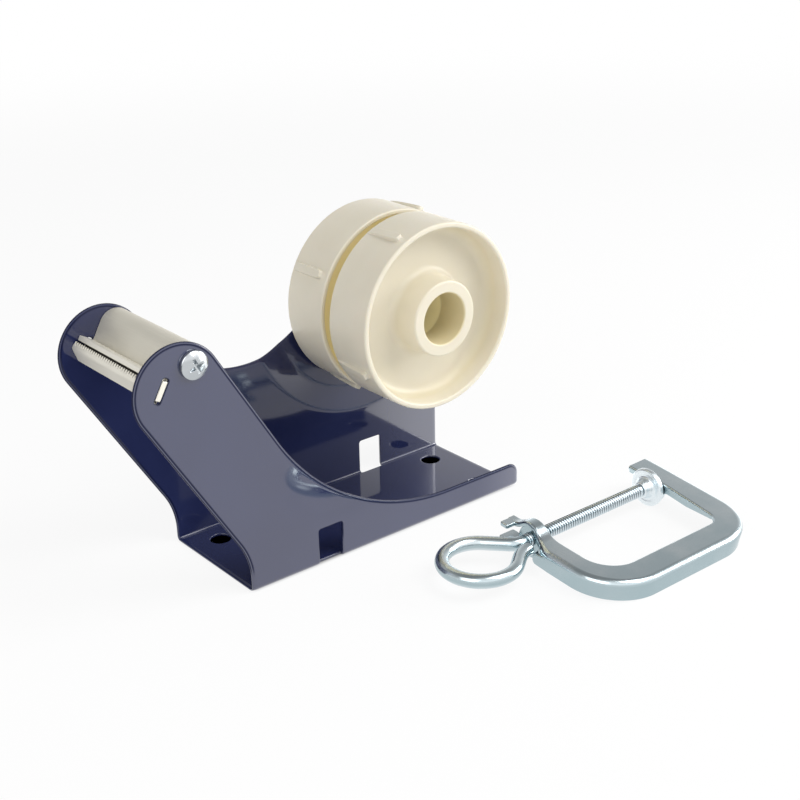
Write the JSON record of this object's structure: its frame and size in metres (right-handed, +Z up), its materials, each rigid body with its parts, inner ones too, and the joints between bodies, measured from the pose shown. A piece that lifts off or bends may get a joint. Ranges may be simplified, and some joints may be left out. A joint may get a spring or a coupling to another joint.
{
  "type": "clamp-on tape dispenser",
  "caption": "Bench dispenser for packing tape: bent sheet frame with a toothed cutter at its nose, a braked ribbed core hub on one tall wall, and a loose screw clamp to hold it on a table edge.",
  "frame": {"origin": "centre of the underside of the base plate, on the table", "axes": "+X from the cutting nose to the rear, -Y towards the low loading wall, +Z up"},
  "size_m": [0.2153, 0.1658, 0.1212],
  "materials": {
    "navy_enamel": "dark navy gloss stove enamel",
    "nose_steel": "plain satin steel with a warm tint",
    "zinc": "bright bluish zinc plate",
    "cream_plastic": "cream moulded plastic, soft sheen",
    "black_plastic": "black moulded plastic",
    "fibre": "dark pressed fibre",
    "nylon": "pale nylon"
  },
  "bodies": {
    "stand": {"frame": "navy_enamel", "nose_plate": "nose_steel", "cutter_blade": "nose_steel", "nose_spacer": "zinc", "nose_screws": "zinc", "axle_bolt": "zinc", "head_washer": "zinc", "head_friction_washer": "fibre", "wall_friction_washer": "fibre", "outer_washer": "zinc", "disc_spring": "zinc", "lock_nut": "zinc", "lock_nut_insert": "nylon"},
    "hub": {"rear_wheel": "cream_plastic", "front_wheel": "cream_plastic", "hub_sleeve": "black_plastic"},
    "clamp": {"clamp_frame": "zinc"},
    "pad": {"clamp_pad": "zinc"},
    "screw": {"clamp_screw": "zinc"}
  },
  "joints": [
    {"name": "hub_spin", "type": "hinge", "parent": "stand", "child": "hub", "pos_m": [0.0268, 0, 0.0842], "axis": [0, 1, 0], "continuous": true},
    {"name": "clamp_lift", "type": "slide", "parent": "stand", "child": "clamp", "axis": [0, 0, 1], "range_m": [0, 0.1]},
    {"name": "pad_travel", "type": "slide", "parent": "clamp", "child": "pad", "axis": [1, 0, 0], "range_m": [-0.04375, 0]},
    {"name": "screw_turn", "type": "hinge", "parent": "pad", "child": "screw", "pos_m": [0.06, -0.07479, 0.008], "axis": [1, 0, 0], "range_deg": [-12600, 0]}
  ],
  "couplings": [
    {"joint": "screw_turn", "follows": "pad_travel", "rad_per_m": 5026.5}
  ]
}
